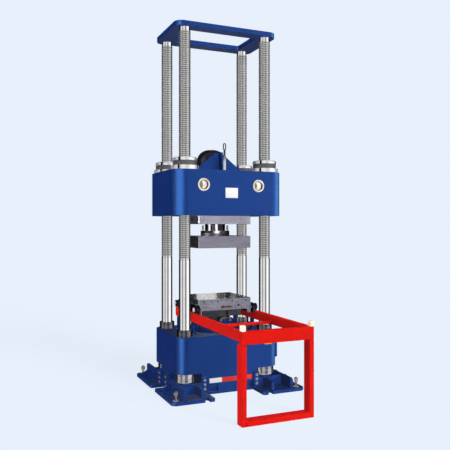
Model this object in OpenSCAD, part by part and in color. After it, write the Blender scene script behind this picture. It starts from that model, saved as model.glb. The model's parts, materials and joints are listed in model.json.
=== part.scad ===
// Four-column compression testing machine, millimetres, +Z up.
// The origin is on the floor under the loading axis; the operator stands on the -Y side.

/* [Columns] */
// Diameter of each column
column_d = 110; // [80:5:120]
// Distance of a column axis from the loading axis, along X
column_x = 421; // [400:1:440]
// Distance of a column axis from the loading axis, along Y
column_y = 267; // [250:1:280]
// Height of the top of the columns, where the top frame rests
column_top = 3457; // [3400:1:3600]
// Height where the plain shaft ends and the threaded length begins
thread_start = 1273; // [1200:1:1400]
// Length of the plain neck under the top frame
neck_h = 33; // [20:1:60]

/* [Base] */
// Half width of the base casting
base_x = 528; // [500:1:560]
// Half depth of the base casting
base_y = 373; // [350:1:400]
// Corner radius of the base casting
base_r = 105; // [60:1:110]
// Underside of the block above its pedestal
base_low = 204; // [190:1:230]
// Top face of the base casting
base_top = 547; // [520:1:580]
// Half width of the pedestal's front and rear arms
pedestal_x = 288; // [270:1:300]
// Half depth of the pedestal's side arms
pedestal_y = 130; // [100:1:140]

/* [Feet] */
// Thickness of a foot's floor plate
foot_t = 30; // [20:1:40]
// Outer edge of the left feet from the loading axis, along X
foot_left = 654; // [640:1:680]
// Outer edge of the right feet, which reach further out
foot_right = 688; // [660:1:700]
// Outer edge of the feet from the loading axis, along Y
foot_y = 601; // [590:1:620]
// Thickness of the long walls of a foot
wall_t = 25; // [16:1:30]
// Thickness of the short ribs of a foot
rib_t = 20; // [12:1:25]
// Height of the walls above a foot's floor plate
wall_h = 98; // [80:1:110]
// Distance of the foundation bolts from the loading axis, along X
anchor_x = 595; // [585:1:600]
// Distance of the foundation bolts from the loading axis, along Y
anchor_y = 275; // [270:1:280]

/* [Crosshead] */
// Half width of the crosshead casting
head_x = 574; // [560:1:600]
// Half depth of the crosshead casting
head_y = 407; // [390:1:430]
// Corner radius of the crosshead casting
head_r = 145; // [80:1:150]
// Underside of the crosshead casting
head_low = 1685; // [1680:1:1700]
// Height of the crosshead casting
head_h = 430; // [400:1:450]
// Diameter of a column nut
nut_d = 235; // [220:1:250]
// Diameter of the cap that holds a column nut down
cap_d = 265; // [255:1:275]

/* [Platens] */
// Half width of the platens
platen_x = 276; // [250:1:290]
// Half depth of the platens
platen_y = 255; // [230:1:270]
// Loading face of the upper platen
upper_face = 1372; // [1365:1:1380]
// Thickness of the upper platen
upper_t = 115; // [100:1:120]
// Loading face of the lower platen
lower_face = 879; // [870:1:900]
// Thickness of the lower platen
lower_t = 50; // [40:1:58]

/* [Spherical seat] */
// Radius of the ball, centred on the upper loading face
ball_r = 190; // [185:1:195]
// Diameter of the seat's flange
flange_d = 290; // [280:1:295]
// Diameter of the seat's drum
drum_d = 204; // [190:1:206]
// Distance of the spring studs from the axis
stud_ring_r = 125; // [124:1:127]

/* [Ram] */
// Diameter of the ram
ram_d = 300; // [250:10:320]
// Outer diameter of the cylinder
cylinder_d = 364; // [350:2:380]
// Top of the cylinder
cylinder_top = 655; // [640:1:670]
// Top of the ram head
ram_top = 765; // [755:1:768]

/* [Loading trolley] */
// Radius of a trolley wheel
wheel_r = 34.2; // [30:0.1:36]
// Width of a trolley wheel
wheel_w = 26; // [20:1:28]
// Distance of the wheel axles from the loading axis, along Y
axle_y = 270; // [240:1:280]
// Underside of the trolley plate
trolley_low = 771; // [770:1:775]

/* [Rail frame] */
// Outer half width of the rail frame
frame_x = 330; // [325:1:340]
// Front face of the rail frame, towards the operator
frame_front = 1345; // [1300:5:1400]
// Top of the rails
rail_top = 755; // [750:1:756]
// Height of a rail
rail_h = 88; // [60:1:90]
// Width of a rail
rail_w = 30; // [25:1:35]
// Height of the front beam
beam_h = 107; // [90:1:120]

/* [Top frame] */
// Thickness of the top frame
top_t = 46; // [30:1:60]
// Half width of the top frame
top_x = 526; // [515:1:560]
// Half depth of the top frame
top_y = 340; // [330:1:360]

/* [Hidden] */
$fn = 96;
// clearance of a running fit, on the radius
run_fit = 0.1;
// gap between faces of different moving pieces
gap = 0.3;
// clearance of a fixed piece round a column, on the radius
seat_fit = 0.2;
column_r = column_d / 2;
head_top = head_low + head_h;
upper_back = upper_face + upper_t;
column_low = 110;
sides = [-1, 1];
corners = [for (x = sides) for (y = sides) [x, y]];

// column nut and its cap
cap_h = 38;
nut_low = head_top + cap_h + gap;
nut_top = 2231;
nut_band = 2196;
journal_r = 80;
journal_low = 1960;

// spherical seat
seat_top = 1604;
seat_flange_top = 1538;
seat_ring_h = 23;
// whole millimetre just below the rim where the socket's sphere meets the flange
seat_low = 1498;
band_r = 138;
seat_r = ball_r + 2.6;
liner_r = ball_r + gap;
liner_t = 2;
liner_reach = 92;
spring_top = 1584;
stud_top = 1592;
stud_hole_r = 11.5;
stud_angles = [-122.8, -32.8, 57.2, 147.2];

// trolley
axle_z = rail_top + gap + wheel_r;
wheel_in = 302;
axle_r = 10;
cheek_x = 294;
cheek_low = 733;
trolley_back = 310;

// cylinder and lower column fittings
cyl_flange_r = 260;
cyl_flange_h = 38;
cyl_bolt_circle = 226;
collar_r = 75;
collar_top = 610;
low_nut_r = 90;
low_nut_low = 125;

// ---------- shared shapes ----------

// rectangle with round corners, centred
module rounded(hx, hy, r) {
    square([2 * hx, 2 * (hy - r)], center = true);
    square([2 * (hx - r), 2 * hy], center = true);
    for (c = corners) translate([c[0] * (hx - r), c[1] * (hy - r)]) circle(r);
}

// rectangle with cut corners, centred
module chamfered(hx, hy, c) {
    polygon([
        [-hx + c, -hy], [hx - c, -hy], [hx, -hy + c], [hx, hy - c],
        [hx - c, hy], [-hx + c, hy], [-hx, hy - c], [-hx, -hy + c]
    ]);
}

// block from its low corner to its high corner
module block(low, high) {
    translate(low) cube(high - low);
}

// the same piece at each of the four column places
module at_columns() {
    for (c = corners) translate([c[0] * column_x, c[1] * column_y, 0]) children();
}

// ring with a bore, standing on z = 0
module ring(outer, inner, h) {
    difference() {
        cylinder(r = outer, h = h);
        translate([0, 0, -1]) cylinder(r = inner, h = h + 2);
    }
}

// four spanner slots in the rim of a round nut or cap
module rim_slots(r, depth, width, low, high) {
    for (a = [45:90:315]) rotate(a)
        block([r - depth, -width / 2, low], [r + 1, width / 2, high]);
}

// hexagon head across flats, standing on z = 0
module hex_head(across, h) {
    cylinder(r = across / sqrt(3), h = h, $fn = 6);
}

// ---------- base ----------

module base_block() {
    ram_pocket_low = 340;
    lifting_slot = [92, 34, 50];
    color("#1e3f80") difference() {
        union() {
            translate([0, 0, base_low]) linear_extrude(base_top - base_low)
                rounded(base_x, base_y, base_r);
            linear_extrude(base_low) {
                square([2 * pedestal_x, 2 * base_y], center = true);
                square([2 * base_x, 2 * pedestal_y], center = true);
            }
        }
        at_columns() translate([0, 0, base_low - 1])
            cylinder(r = column_r + seat_fit, h = base_top);
        translate([0, 0, ram_pocket_low]) cylinder(r = ram_d / 2 + run_fit, h = base_top);
        for (x = [-213, 151]) translate([x, -base_y - 1, 34]) cube(lifting_slot);
    }
}

// upright wall of a foot along Y, t thick towards -X, under [y, height] points
module foot_rib(t, points) {
    last = points[len(points) - 1];
    rotate([90, 0, -90]) mirror([1, 0, 0]) linear_extrude(t)
        polygon(concat([[points[0][0], -1]], points, [[last[0], -1]]));
}

// one foot, drawn for the quadrant where X and Y are positive: edge is the outer
// edge of its plate, wall_x the outer face of its long wall, rib_h and ribs the
// height of the short outer ribs and their places along Y
module foot(edge, wall_x, rib_h, ribs) {
    inner_x = 245;
    rib_x = 343;
    flange_end = 60;
    flange_top = 172;
    wall_start = pedestal_y + 1;
    bolt_x = edge - 56;
    bolt_y = 530;
    difference() {
        linear_extrude(foot_t) difference() {
            polygon([
                [inner_x, base_y], [wall_x - wall_t, base_y], [wall_x - wall_t, wall_start],
                [base_x, wall_start], [base_x, flange_end],
                [edge - 12, flange_end], [edge, flange_end + 12], [edge, foot_y - 30],
                [edge - 30, foot_y], [inner_x + 10, foot_y], [inner_x, foot_y - 10]
            ]);
            translate([296, foot_y - 60]) square([rib_x - 296, 80]);
            translate([anchor_x, anchor_y]) circle(20);
            translate([bolt_x, bolt_y]) circle(12);
        }
        translate([bolt_x, bolt_y, foot_t - 20]) cylinder(r = 42, h = 24);
    }
    // flange bolted to the side of the pedestal, and the long wall that runs on from it
    block([base_x, flange_end, foot_t - 1], [base_x + wall_t, wall_start + 12, flange_top]);
    translate([wall_x, 0, foot_t]) foot_rib(wall_t, [
        [wall_start, wall_h + 40], [wall_start + 14, wall_h + 40], [190, wall_h],
        [570, wall_h], [584, wall_h - 14]
    ]);
    // inner rib
    translate([rib_x + wall_t, 0, foot_t]) foot_rib(wall_t,
        [[base_y, 88], [545, 86], [570, 76]]);
    // cross wall behind the inner rib
    block([rib_x, base_y, foot_t - 1], [wall_x - 1, base_y + wall_t, foot_t + 91]);
    // flange plate bolted to the front or rear of the pedestal, with its tie
    block([inner_x - 3, base_y, foot_t - 1], [296, base_y + wall_t, flange_top]);
    block([295, base_y, foot_t - 1], [rib_x + 1, base_y + wall_t, foot_t + 90]);
    // short sloping ribs outside the long wall
    for (y = ribs) translate([0, y + rib_t / 2, foot_t]) rotate([90, 0, 0])
        linear_extrude(rib_t) polygon([
            [wall_x - 1, 0], [wall_x - 1, rib_h], [wall_x + rib_h / 4, rib_h],
            [edge - 14, rib_h / 5], [edge - 14, 0]
        ]);
}

module foot_bracket(sx, sy) {
    color("#1e3f80") mirror([sx < 0 ? 1 : 0, 0, 0]) mirror([0, sy < 0 ? 1 : 0, 0])
        if (sx < 0) foot(foot_left, 542, 60, sy < 0 ? [205, 355] : [315, 475]);
        else foot(foot_right, 566, 92, [205, 400]);
}

module foot_bracket_fl() { foot_bracket(-1, -1); }
module foot_bracket_fr() { foot_bracket(1, -1); }
module foot_bracket_bl() { foot_bracket(-1, 1); }
module foot_bracket_br() { foot_bracket(1, 1); }

module bracket_bolts() {
    across = 23;
    head = 10;
    color("#a9acb4") for (sx = sides) for (sy = sides) {
        for (z = [66, 108, 148]) translate([sx * 270, sy * (base_y + wall_t), z])
            rotate([-90 * sy, 0, 0]) hex_head(across, head);
        for (z = [50, 92, 138])
            translate([sx * (base_x + wall_t), sy * 96, z]) rotate([0, 90 * sx, 0])
                hex_head(across, head);
    }
}

module levelling_bolts() {
    head_low = 78;
    color("#8f9199") for (c = corners)
        translate([c[0] * ((c[0] < 0 ? foot_left : foot_right) - 56), c[1] * 530, 0]) {
            cylinder(r = 11.5, h = 116);
            translate([0, 0, foot_t - 20]) hex_head(50, 30);
            translate([0, 0, head_low]) hex_head(36, 30);
        }
}

// ---------- columns ----------

module column() {
    undercut = 3;
    chamfer = 4;
    neck_low = column_top - neck_h;
    color("#b9b9b9") difference() {
        rotate_extrude() polygon([
            [0, column_low], [column_r - chamfer, column_low],
            [column_r, column_low + chamfer], [column_r, thread_start - 6],
            [column_r - undercut, thread_start - 3], [column_r - undercut, thread_start + 3],
            [column_r, thread_start + 6], [column_r, neck_low - 6],
            [column_r - undercut, neck_low - 3], [column_r - undercut, column_top],
            [0, column_top]
        ]);
        translate([0, 0, column_top - 90]) cylinder(r = 18, h = 91);
    }
}

module column_fl() { translate([-column_x, -column_y, 0]) column(); }
module column_fr() { translate([column_x, -column_y, 0]) column(); }
module column_bl() { translate([-column_x, column_y, 0]) column(); }
module column_br() { translate([column_x, column_y, 0]) column(); }

module column_collars() {
    color("#4a4a52") at_columns() translate([0, 0, base_top])
        ring(collar_r, column_r + seat_fit, collar_top - base_top);
}

module lower_column_nuts() {
    groove_w = 7;
    groove_low = 36;
    color("#5a5a62") at_columns() translate([0, 0, low_nut_low]) difference() {
        ring(low_nut_r, column_r + seat_fit, base_low - low_nut_low);
        translate([0, 0, groove_low]) ring(low_nut_r + 1, low_nut_r - 4, groove_w);
        rim_slots(low_nut_r, 9, 12, -1, groove_low + groove_w / 2);
    }
}

module top_frame() {
    open_x = 353;
    open_y = 210;
    color("#1e3f80") translate([0, 0, column_top]) difference() {
        linear_extrude(top_t) difference() {
            rounded(top_x, top_y, 80);
            rounded(open_x, open_y, 25);
        }
        at_columns() translate([0, 0, -1]) cylinder(r = 20, h = top_t + 2);
        at_columns() translate([0, 0, top_t - 36]) cylinder(r = 32, h = 40);
    }
}

module top_bolts() {
    head_h = 30;
    color("#3c3c42") at_columns() difference() {
        union() {
            translate([0, 0, column_top - 80]) cylinder(r = 17.8, h = 100);
            translate([0, 0, column_top + top_t - 36]) cylinder(r = 27, h = head_h);
        }
        translate([0, 0, column_top + top_t - 22]) hex_head(27, 30);
    }
}

// ---------- ram and cylinder ----------

module ram_cylinder() {
    color("#1e3f80") translate([0, 0, base_top]) difference() {
        rotate_extrude() polygon([
            [ram_d / 2 + run_fit, 0], [cyl_flange_r, 0], [cyl_flange_r, cyl_flange_h - 5],
            [cyl_flange_r - 5, cyl_flange_h], [cylinder_d / 2 + 10, cyl_flange_h],
            [cylinder_d / 2, cyl_flange_h + 10], [cylinder_d / 2, cylinder_top - base_top - 5],
            [cylinder_d / 2 - 5, cylinder_top - base_top],
            [ram_d / 2 + run_fit, cylinder_top - base_top]
        ]);
    }
}

module cylinder_bolts() {
    n = 12;
    color("#1e3f80") for (i = [0:n - 1]) rotate((i + 0.5) * 360 / n)
        translate([cyl_bolt_circle, 0, base_top + cyl_flange_h]) hex_head(36, 18);
}

module ram() {
    ram_low = 350;
    color("#c9c9cc") translate([0, 0, ram_low]) cylinder(r = ram_d / 2, h = 700 - ram_low);
}

module ram_head() {
    color("#4c4c52") difference() {
        translate([0, 0, 700]) linear_extrude(ram_top - 700) chamfered(207, 187, 8);
        block([-30, -188, 708], [60, -147, 750]);
    }
}

// ---------- crosshead ----------

module crosshead() {
    color("#1e3f80") difference() {
        translate([0, 0, head_low]) linear_extrude(head_h) rounded(head_x, head_y, head_r);
        at_columns() translate([0, 0, head_low - 1]) cylinder(r = column_r + 1, h = head_h + 2);
        at_columns() translate([0, 0, journal_low - gap])
            cylinder(r = journal_r + gap, h = head_top);
        for (x = [-284, 284]) translate([x, -head_y - 1, 1973]) rotate([-90, 0, 0])
            cylinder(r = 62.5, h = 31);
    }
}

module crosshead_plugs() {
    color("#cfd0d4") for (x = [-284, 284]) translate([x, -head_y, 1973]) rotate([90, 0, 0])
        rotate_extrude() polygon([
            [0, -30], [62.3, -30], [62.3, 6], [58, 10], [46, 10], [40, 4], [38, -18], [0, -12]
        ]);
}

module nut_caps() {
    color("#d5d5d8") at_columns() translate([0, 0, head_top]) difference() {
        ring(cap_d / 2, journal_r + gap, cap_h);
        rim_slots(cap_d / 2, 11, 13, -1, cap_h + 1);
    }
}

module column_nut() {
    outer = nut_d / 2;
    bevel = 9;
    color("#a6a6aa") difference() {
        rotate_extrude() polygon([
            [column_r + run_fit, journal_low], [journal_r, journal_low], [journal_r, nut_low],
            [outer - 3, nut_low], [outer - 3, nut_band - 4], [outer - 6, nut_band],
            [outer, nut_band + 4], [outer, nut_top - bevel], [outer - bevel, nut_top],
            [column_r + 6, nut_top], [column_r + run_fit, nut_top - 6]
        ]);
        rim_slots(outer, 12, 14, nut_band, nut_top + 1);
    }
}

module column_nut_fl() { translate([-column_x, -column_y, 0]) column_nut(); }
module column_nut_fr() { translate([column_x, -column_y, 0]) column_nut(); }
module column_nut_bl() { translate([-column_x, column_y, 0]) column_nut(); }
module column_nut_br() { translate([column_x, column_y, 0]) column_nut(); }

module lift_gusset() {
    half = 277;
    tip = 25;
    rise = 201;
    color("#1e3f80") translate([0, -75, head_top]) rotate([90, 0, 0]) linear_extrude(25)
        polygon([[-half, 0], [half, 0], [tip, rise], [-tip, rise]]);
}

module lift_rib() {
    color("#1e3f80") translate([25, 0, head_top]) rotate([90, 0, -90]) linear_extrude(25)
        polygon([[100, 0], [200, 0], [145, 201], [100, 201]]);
}

module lift_rod() {
    color("#c9c9cc") translate([0, -240, head_top]) {
        cylinder(r = 22, h = 12, $fn = 6);
        cylinder(r = 15, h = 150);
        cylinder(r = 10, h = 208);
    }
}

module lift_eye() {
    wire = 5;
    bend = 11.5;
    low = head_top + 208 + wire + bend;
    straight = 37;
    color("#4a4a50") translate([0, -240, low]) {
        for (s = sides) translate([s * bend, 0, 0]) cylinder(r = wire, h = straight);
        translate([0, 0, straight]) rotate([90, 0, 0]) rotate_extrude(angle = 180)
            translate([bend, 0]) circle(wire);
        rotate([-90, 0, 0]) rotate_extrude(angle = 180) translate([bend, 0]) circle(wire);
    }
}

module motor_flange() {
    color("#2a2a30") translate([0, 100, head_top]) cylinder(r = 162, h = 18);
}

module motor_cover() {
    r = 150;
    shoulder = 122;
    h = 246;
    color("#16161a") translate([0, 100, head_top + 18]) rotate_extrude() {
        square([r - shoulder, h - 18]);
        square([r, h - 18 - shoulder]);
        translate([r - shoulder, h - 18 - shoulder]) intersection() {
            circle(shoulder);
            square([shoulder, shoulder]);
        }
    }
}

module adapter_plate() {
    color("#9a98a5") difference() {
        translate([0, 0, seat_top]) linear_extrude(head_low - seat_top)
            chamfered(platen_x, platen_y, 6);
        for (c = corners) translate([c[0] * 230, c[1] * 205, seat_top - 1]) {
            cylinder(r = 17, h = head_low);
            cylinder(r = 26, h = 41);
        }
    }
}

module adapter_bolts() {
    color("#3c3c42") for (c = corners) translate([c[0] * 230, c[1] * 205, seat_top]) difference() {
        union() {
            translate([0, 0, 10]) cylinder(r = 22, h = 30);
            translate([0, 0, 40]) cylinder(r = 15, h = head_low - seat_top - 40);
        }
        translate([0, 0, 9]) hex_head(22, 14);
    }
}

// ---------- spherical seat ----------

module seat_socket() {
    lip = seat_flange_top - seat_ring_h;
    color("#1d1d22") difference() {
        translate([0, 0, seat_low]) {
            cylinder(r = flange_d / 2, h = lip - seat_low);
            cylinder(r = band_r, h = seat_flange_top - seat_low);
            cylinder(r = drum_d / 2, h = seat_top - seat_low);
        }
        translate([0, 0, upper_face]) sphere(seat_r);
        stud_holes();
    }
}

module stud_holes() {
    for (a = stud_angles) rotate(a) translate([stud_ring_r, 0, upper_face])
        cylinder(r = stud_hole_r, h = 190);
}

module seat_ring() {
    color("#b8b8be") translate([0, 0, seat_flange_top - seat_ring_h])
        ring(flange_d / 2, band_r, seat_ring_h);
}

module seat_liner() {
    color("#9a7b4a") translate([0, 0, upper_face]) difference() {
        intersection() {
            sphere(liner_r + liner_t);
            cylinder(r = liner_reach, h = 2 * ball_r);
        }
        sphere(liner_r);
    }
}

module seat_ball() {
    color("#26262b") intersection() {
        translate([0, 0, upper_face]) sphere(ball_r);
        translate([0, 0, upper_back]) cylinder(r = flange_d / 2, h = ball_r);
    }
}

module seat_studs() {
    color("#8b8d94") for (a = stud_angles) rotate(a) translate([stud_ring_r, 0, 0]) {
        translate([0, 0, seat_foot()]) cylinder(r = 5, h = stud_top - seat_foot() - 4);
        translate([0, 0, spring_top]) hex_head(17, stud_top - spring_top);
    }
}

// height of the ball's surface under a stud, less its bedding
function seat_foot() = upper_face + sqrt(pow(ball_r, 2) - pow(stud_ring_r - 5, 2));

module seat_springs() {
    color("#8a5a33") for (a = stud_angles) rotate(a)
        translate([stud_ring_r, 0, seat_flange_top]) ring(14, 9.5, spring_top - seat_flange_top);
}

module upper_platen() {
    color("#9a98a5") translate([0, 0, upper_face]) linear_extrude(upper_t)
        chamfered(platen_x, platen_y, 6);
}

// ---------- loading trolley ----------

module lower_platen() {
    color("#a3a1ad") difference() {
        translate([0, 0, lower_face - lower_t]) linear_extrude(lower_t)
            chamfered(platen_x, platen_y, 6);
        for (x = [-223, -75, 75, 223]) translate([x, -platen_y - 1, lower_face - 24])
            rotate([-90, 0, 0]) cylinder(r = 6, h = 30);
    }
}

module trolley_plate() {
    leg_in = 241;
    leg_depth = 40;
    color("#9a98a5") difference() {
        union() {
            translate([0, 0, trolley_low]) linear_extrude(lower_face - lower_t - trolley_low)
                square([2 * platen_x, 2 * platen_y], center = true);
            for (x = [-platen_x, leg_in]) for (y = [-platen_y, platen_y - leg_depth])
                block([x, y, cheek_low], [x + platen_x - leg_in, y + leg_depth, trolley_low + 1]);
        }
        translate([143, -platen_y - 1, 812]) rotate([-90, 0, 0]) cylinder(r = 9, h = 40);
    }
}

module trolley_cheeks() {
    top = lower_face - lower_t;
    color("#6e6d78") for (s = sides) {
        difference() {
            translate([s > 0 ? platen_x : -cheek_x, 0, 0]) rotate([90, 0, 90])
                linear_extrude(cheek_x - platen_x) polygon([
                    [-trolley_back, cheek_low + 20], [-trolley_back + 25, cheek_low],
                    [trolley_back - 25, cheek_low], [trolley_back, cheek_low + 20],
                    [trolley_back, top - 30], [trolley_back - 30, top],
                    [-trolley_back + 30, top], [-trolley_back, top - 30]
                ]);
            for (y = [-axle_y, axle_y]) translate([s * platen_x, y, axle_z]) rotate([0, 90, 0])
                cylinder(r = axle_r, h = 80, center = true);
        }
    }
}

module wheel_axles() {
    color("#c9c9cc") for (s = sides) for (y = [-axle_y, axle_y])
        translate([s * platen_x, y, axle_z]) rotate([0, 90 * s, 0]) {
            cylinder(r = axle_r, h = 56);
            translate([0, 0, cheek_x - platen_x])
                cylinder(r = 16, h = wheel_in - cheek_x - gap);
            translate([0, 0, wheel_in + wheel_w + gap - platen_x]) cylinder(r = 20.5, h = 7);
        }
}

module wheel(sx, sy) {
    color("#18181c") translate([sx * wheel_in, sy * axle_y, axle_z]) rotate([0, 90 * sx, 0])
        rotate_extrude() polygon([
            [axle_r + run_fit, 0], [wheel_r - 3, 0], [wheel_r, 3], [wheel_r, wheel_w - 3],
            [wheel_r - 3, wheel_w], [23, wheel_w], [21, wheel_w - 4], [17, wheel_w - 4],
            [16, wheel_w], [axle_r + run_fit, wheel_w]
        ]);
}

module wheel_fl() { wheel(-1, -1); }
module wheel_fr() { wheel(1, -1); }
module wheel_bl() { wheel(-1, 1); }
module wheel_br() { wheel(1, 1); }

module platen_handle() {
    z = 803;
    reach = 30;
    front = -platen_y - reach;
    color("#6b4a2e") {
        translate([-47, front, z]) rotate([0, 90, 0]) cylinder(r = 7, h = 105);
        for (x = [-36, 48]) translate([x, front, z]) rotate([-90, 0, 0]) cylinder(r = 6, h = reach);
        translate([-47, front, z]) rotate([0, 90, 0]) cylinder(r = 12, h = 18);
    }
}

// ---------- rail frame ----------

module rail(s) {
    back = 265;
    color("#e01c16") block(
        [s > 0 ? frame_x - rail_w : -frame_x, -frame_front + 45, rail_top - rail_h],
        [s > 0 ? frame_x : -frame_x + rail_w, back, rail_top]
    );
}

module rail_left() { rail(-1); }
module rail_right() { rail(1); }

module rail_supports() {
    color("#1e3f80") for (s = sides) for (y = [-205, 205]) {
        translate([s * (frame_x - rail_w / 2), y, base_top]) {
            translate([0, 0, 8]) cube([56, 70, 16], center = true);
            block([-12, -28, 16], [12, 28, rail_top - rail_h - base_top]);
        }
    }
}

module front_beam() {
    color("#e01c16") block(
        [-frame_x, -frame_front, rail_top - beam_h],
        [frame_x, -frame_front + 45, rail_top]
    );
}

module frame_legs() {
    leg_x = 42;
    leg_y = 96;
    color("#e01c16") for (s = sides) block(
        [s > 0 ? frame_x - leg_x : -frame_x, -frame_front, 0],
        [s > 0 ? frame_x : -frame_x + leg_x, -frame_front + leg_y, rail_top - beam_h]
    );
}

module bottom_bar() {
    color("#e01c16") block([-288, -frame_front, 0], [288, -frame_front + 96, 45]);
}

module cross_member() {
    color("#e01c16") block([-frame_x + rail_w, -657, 675], [frame_x - rail_w, -622, 700]);
}

module bumpers() {
    pad = [33, 45, 45];
    beam_low = rail_top - beam_h;
    color("#f5eed2") {
        for (x = [-frame_x, frame_x - pad[0]]) translate([x, -frame_front, rail_top]) cube(pad);
        block([-120, -frame_front + 8, beam_low - 8], [-60, -frame_front + 38, beam_low]);
    }
}

module side_cover() {
    color("#1e3f80") translate([base_x, 0, 253]) rotate([0, 90, 0]) linear_extrude(76)
        translate([-109, 0]) chamfered(109, 200, 6);
}

base_block();
foot_bracket_fl();
foot_bracket_fr();
foot_bracket_bl();
foot_bracket_br();
bracket_bolts();
levelling_bolts();
column_fl();
column_fr();
column_bl();
column_br();
column_collars();
lower_column_nuts();
top_frame();
top_bolts();
ram_cylinder();
cylinder_bolts();
rail_left();
rail_right();
rail_supports();
front_beam();
frame_legs();
bottom_bar();
cross_member();
bumpers();
side_cover();
crosshead();
crosshead_plugs();
nut_caps();
lift_gusset();
lift_rib();
lift_rod();
lift_eye();
motor_flange();
motor_cover();
adapter_plate();
adapter_bolts();
seat_socket();
seat_ring();
column_nut_fl();
column_nut_fr();
column_nut_bl();
column_nut_br();
seat_liner();
seat_ball();
seat_studs();
seat_springs();
upper_platen();
ram();
ram_head();
trolley_plate();
trolley_cheeks();
wheel_axles();
lower_platen();
platen_handle();
wheel_fl();
wheel_fr();
wheel_bl();
wheel_br();
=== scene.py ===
import json
import math

import bmesh
import bpy
from bpy.props import FloatProperty, FloatVectorProperty, PointerProperty
from bpy.types import Operator, Panel, PropertyGroup
from mathutils import Matrix, Vector

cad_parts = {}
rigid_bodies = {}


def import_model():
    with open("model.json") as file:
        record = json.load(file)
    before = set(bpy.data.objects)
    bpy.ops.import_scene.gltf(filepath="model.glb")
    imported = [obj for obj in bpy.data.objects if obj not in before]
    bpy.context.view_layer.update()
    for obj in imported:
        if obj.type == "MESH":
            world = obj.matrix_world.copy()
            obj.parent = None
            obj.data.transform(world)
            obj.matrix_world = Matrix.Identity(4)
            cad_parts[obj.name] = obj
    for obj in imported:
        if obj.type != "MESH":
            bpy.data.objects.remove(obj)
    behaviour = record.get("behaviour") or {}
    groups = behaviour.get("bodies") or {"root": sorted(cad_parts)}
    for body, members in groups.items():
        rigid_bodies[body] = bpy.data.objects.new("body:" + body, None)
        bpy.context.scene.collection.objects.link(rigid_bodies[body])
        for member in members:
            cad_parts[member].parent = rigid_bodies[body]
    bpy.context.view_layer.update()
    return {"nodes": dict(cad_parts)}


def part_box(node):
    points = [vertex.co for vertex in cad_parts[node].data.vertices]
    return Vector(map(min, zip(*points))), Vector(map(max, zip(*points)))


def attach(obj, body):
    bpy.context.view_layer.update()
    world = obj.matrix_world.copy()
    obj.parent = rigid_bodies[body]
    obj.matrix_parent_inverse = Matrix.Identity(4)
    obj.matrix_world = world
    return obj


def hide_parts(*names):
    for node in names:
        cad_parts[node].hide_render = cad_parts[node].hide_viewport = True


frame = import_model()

bl_info = {
    "name": "Four-Column Compression Testing Machine",
    "version": (1, 0, 0),
    "blender": (4, 5, 0),
    "location": "View3D > Sidebar > Testing Machine",
    "description": "Finishes the packed frame of a hydraulic compression testing machine",
    "category": "Object",
}

# The studio is laid out about the direction from the loading axis to the camera.
CAMERA_PLACE = (-2.3554, -5.6548, 1.5953)
CAMERA_TURN = math.radians(-23.5548)
CAMERA_LENS = 48.48
TOWARD_CAMERA = math.atan2(-math.cos(CAMERA_TURN), math.sin(CAMERA_TURN))

CORNERS = {"fl": (-1, -1), "fr": (1, -1), "bl": (-1, 1), "br": (1, 1)}


def linear(hex_text):
    """Turns an sRGB hex colour into Blender's linear values."""
    values = [int(hex_text[i:i + 2], 16) / 255 for i in (1, 3, 5)]
    return [v / 12.92 if v <= 0.04045 else ((v + 0.055) / 1.055) ** 2.4 for v in values]


# ---------- materials ----------


def add_node(tree, kind, inputs=None, **settings):
    """Adds a node. A value goes into its input socket, and another node's output is linked to it."""
    new = tree.nodes.new(kind)
    for name, value in settings.items():
        setattr(new, name, value)
    for name, value in (inputs or {}).items():
        if isinstance(value, bpy.types.NodeSocket):
            tree.links.new(value, new.inputs[name])
        else:
            new.inputs[name].default_value = value
    return new


def new_tree(name):
    """A new material and its empty node tree."""
    material = bpy.data.materials.new(name)
    material.use_nodes = True
    material.node_tree.nodes.clear()
    return material, material.node_tree


def close_tree(tree, inputs):
    """Ends a tree with one shader and the material's output."""
    shader = add_node(tree, "ShaderNodeBsdfPrincipled", inputs)
    add_node(tree, "ShaderNodeOutputMaterial", {"Surface": shader.outputs[0]})
    return shader


def mottle(tree, size_mm, detail=3.0, stretch=(1, 1, 1)):
    """Noise whose patches are about size_mm across in the object's own coordinates."""
    place = add_node(tree, "ShaderNodeTexCoord").outputs["Object"]
    if tuple(stretch) != (1, 1, 1):
        place = add_node(tree, "ShaderNodeMapping", {"Vector": place, "Scale": stretch}).outputs[0]
    return add_node(tree, "ShaderNodeTexNoise",
                    {"Vector": place, "Scale": 1000 / size_mm, "Detail": detail}).outputs[0]


def between(tree, factor, low, high):
    """A value that runs from low to high as factor runs from 0.3 to 0.7, the range noise fills."""
    return add_node(tree, "ShaderNodeMapRange", {
        "Value": factor, "From Min": 0.3, "From Max": 0.7, "To Min": low, "To Max": high,
    }).outputs[0]


def blended(tree, factor, dark, light):
    """A colour that runs from dark to light with factor."""
    mix = add_node(tree, "ShaderNodeMix", {"Factor": factor}, data_type="RGBA")
    for name, colour in (("A", dark), ("B", light)):
        if isinstance(colour, bpy.types.NodeSocket):
            tree.links.new(colour, mix.inputs[name])
        else:
            mix.inputs[name].default_value = (*colour[:3], 1)
    return mix.outputs["Result"]


def scaled(colour, by):
    return [v * by for v in colour[:3]]


def bump(tree, height, distance, strength=1.0):
    return add_node(tree, "ShaderNodeBump", {
        "Height": height, "Distance": distance, "Strength": strength,
    }).outputs[0]


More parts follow.
